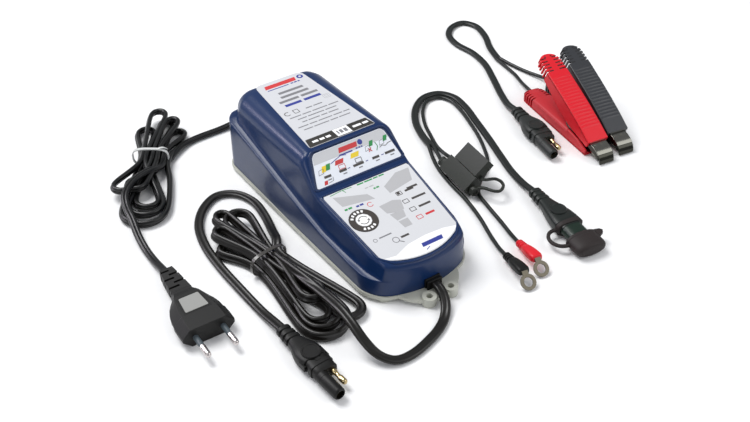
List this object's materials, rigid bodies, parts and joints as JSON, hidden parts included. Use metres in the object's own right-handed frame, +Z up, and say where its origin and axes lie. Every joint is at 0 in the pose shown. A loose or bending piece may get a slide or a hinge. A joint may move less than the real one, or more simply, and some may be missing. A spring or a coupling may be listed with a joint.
{
  "type": "car battery charger",
  "caption": "Sealed battery charger unit with coiled mains and DC leads, a fused ring-terminal lead and a clamp lead.",
  "frame": {"origin": "on the table under the middle of the charging unit, leads left out", "axes": "+Y towards the mains end of the unit, +Z up, DC end towards -Y"},
  "size_m": [0.3995, 0.3244, 0.0636],
  "materials": {
    "housing": "semi-gloss navy",
    "base": "satin pale grey",
    "screw_steel": "zinc plated",
    "label": "printed satin film",
    "button": "satin",
    "window": "satin",
    "board": "solder mask",
    "core_steel": "varnished laminations",
    "copper_coil": "enamelled copper",
    "component_black": "moulded",
    "heatsink": "extruded",
    "cord_rubber": "satin PVC",
    "tie_clear": "clear film",
    "tie_dark": "dark film",
    "plug_plastic": "satin PVC",
    "pin_nickel": "nickel plated",
    "connector_black": "satin PVC",
    "connector_green": "satin PVC",
    "contact_brass": "plated",
    "cap_rubber": "matt",
    "red_plastic": "satin",
    "black_plastic": "satin",
    "jaw_steel": "nickel plated",
    "fuse_plastic": "satin",
    "fuse_body": "clear tinted",
    "terminal_tin": "tinned"
  },
  "bodies": {
    "charger": {"top_case": "housing", "base_plate": "base", "case_screws": "screw_steel", "top_label": "label", "program_panel": "label", "control_panel": "label", "touch_switch": "component_black", "led_board": "board", "led_windows": "window", "circuit_board": "board", "transformer_core": "core_steel", "transformer_coil": "copper_coil", "capacitors": "component_black", "heatsink": "heatsink", "power_transistors": "component_black", "mains_gland": "cord_rubber", "dc_gland": "cord_rubber", "mains_cord_lead": "cord_rubber", "mains_hank": "cord_rubber", "mains_tie": "tie_clear", "mains_cord_tail": "cord_rubber", "plug_body": "plug_plastic", "plug_pins": "pin_nickel", "dc_cord_lead": "cord_rubber", "dc_hank": "cord_rubber", "dc_tie": "tie_dark", "dc_cord_tail": "cord_rubber", "dc_connector": "connector_black", "dc_contacts": "contact_brass"},
    "button": {"touch_button": "button"},
    "clamp_lead": {"clamp_connector": "connector_black", "clamp_contacts": "contact_brass", "clamp_cord": "cord_rubber", "red_wire": "cord_rubber", "black_wire": "cord_rubber", "red_lower_handle": "red_plastic", "red_lower_jaw": "jaw_steel", "red_pivot": "screw_steel", "red_spring": "screw_steel", "black_lower_handle": "black_plastic", "black_lower_jaw": "jaw_steel", "black_pivot": "screw_steel", "black_spring": "screw_steel"},
    "red_jaws": {"red_upper_handle": "red_plastic", "red_upper_jaw": "jaw_steel"},
    "black_jaws": {"black_upper_handle": "black_plastic", "black_upper_jaw": "jaw_steel"},
    "ring_lead": {"ring_connector": "connector_green", "ring_contacts": "contact_brass", "cap_tether": "cap_rubber", "ring_cord": "cord_rubber", "positive_wire": "cord_rubber", "negative_wire": "cord_rubber", "fuse_holder": "fuse_plastic", "blade_fuse": "fuse_body", "positive_boot": "red_plastic", "negative_boot": "black_plastic", "ring_terminals": "terminal_tin"},
    "weather_cap": {"weather_cap": "cap_rubber"},
    "fuse_cap": {"fuse_cap": "fuse_plastic"}
  },
  "joints": [
    {"name": "button_press", "type": "slide", "parent": "charger", "child": "button", "axis": [0, 0.1749, -0.9846], "range_m": [0, 0.0005], "stiffness_N_per_m": 900, "springref_m": -0.0005},
    {"name": "clamp_lead_lift", "type": "slide", "parent": "charger", "child": "clamp_lead", "axis": [0, 0, 1], "range_m": [0, 0.1]},
    {"name": "ring_lead_lift", "type": "slide", "parent": "charger", "child": "ring_lead", "axis": [0, 0, 1], "range_m": [0, 0.1]},
    {"name": "red_jaws_open", "type": "hinge", "parent": "clamp_lead", "child": "red_jaws", "pos_m": [0.19681, -0.01636, 0.012], "axis": [-0.9903, 0.1392, 0], "range_deg": [0, 20], "stiffness_Nm_per_rad": 0.3, "springref_deg": -28.65, "deforming": ["red_spring"]},
    {"name": "black_jaws_open", "type": "hinge", "parent": "clamp_lead", "child": "black_jaws", "pos_m": [0.21861, -0.0161, 0.012], "axis": [-0.9863, 0.165, 0], "range_deg": [0, 20], "stiffness_Nm_per_rad": 0.3, "springref_deg": -28.65, "deforming": ["black_spring"]},
    {"name": "weather_cap_pull", "type": "slide", "parent": "ring_lead", "child": "weather_cap", "axis": [-0.1392, -0.9903, 0], "range_m": [0, 0.025], "deforming": ["cap_tether"]},
    {"name": "fuse_cap_pull", "type": "slide", "parent": "ring_lead", "child": "fuse_cap", "axis": [0.7625, -0.0734, 0.6428], "range_m": [0, 0.025]}
  ]
}
